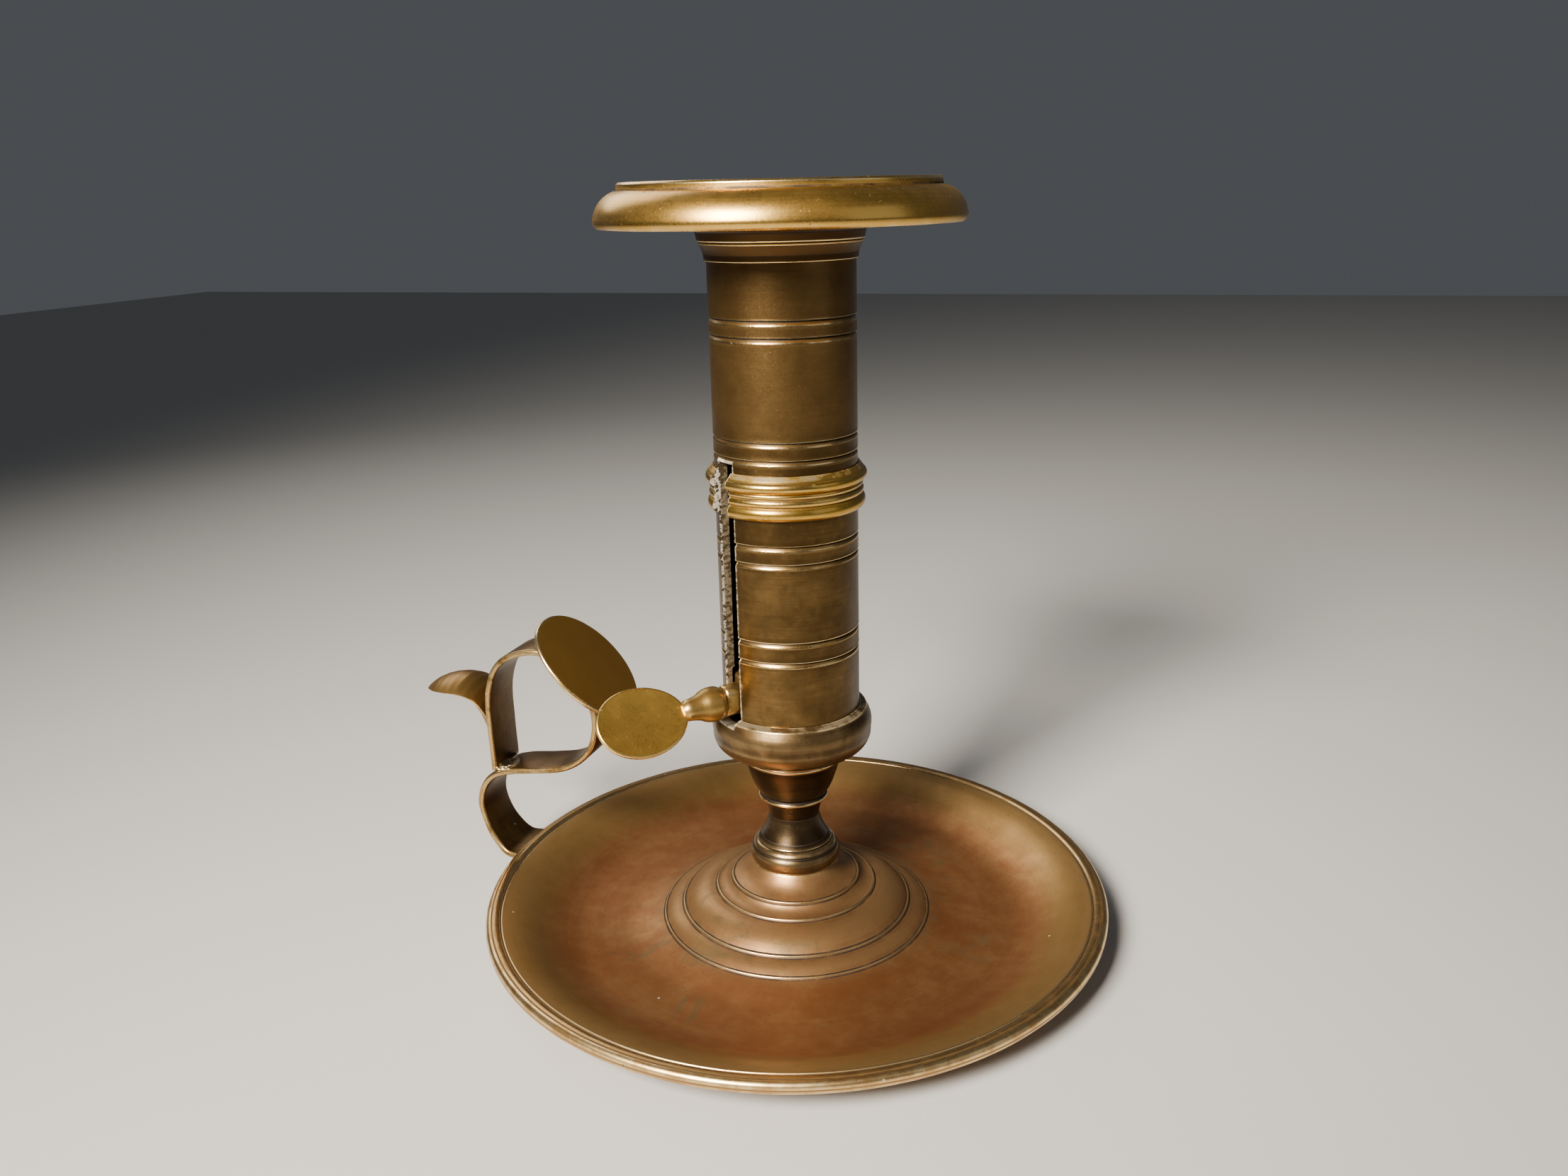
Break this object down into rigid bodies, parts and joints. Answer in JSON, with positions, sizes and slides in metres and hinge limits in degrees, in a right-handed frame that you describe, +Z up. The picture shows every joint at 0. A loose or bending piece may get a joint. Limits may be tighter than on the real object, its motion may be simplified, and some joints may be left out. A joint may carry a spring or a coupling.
{
  "type": "candlestick",
  "caption": "Chamberstick with a dished drip pan, turned stem, hollow column with a sliding ejector lever, broad nozzle flange and a ring handle with thumb plate.",
  "frame": {"origin": "centre of the drip pan's foot on the table plane", "axes": "+Z up along the column, handle along -X, ejector slot between the handle and -Y"},
  "size_m": [0.1419, 0.122, 0.1427],
  "materials": {
    "pan_brass": "warm reddish patina over brass",
    "column_brass": "dark olive brown patina, worn bright on the edges",
    "bright_brass": "polished yellow brass, lightly tarnished",
    "handle_brass": "brown patina with handled edges",
    "fixing_brass": "dull brass"
  },
  "bodies": {
    "candlestick": {"drip_pan": "pan_brass", "baluster_stem": "column_brass", "stem_washer": "fixing_brass", "stem_nut": "fixing_brass", "socket_cup": "column_brass", "column_tube": "column_brass", "mid_band": "bright_brass", "nozzle_flange": "bright_brass", "handle_strap": "handle_brass", "thumb_plate": "handle_brass", "finger_leaf": "handle_brass"},
    "ejector": {"ejector_piston": "fixing_brass", "ejector_pin": "bright_brass", "thumb_paddle": "bright_brass"}
  },
  "joints": [
    {"name": "ejector_slide", "type": "slide", "parent": "candlestick", "child": "ejector", "axis": [0, 0, 1], "range_m": [0, 0.041]}
  ]
}
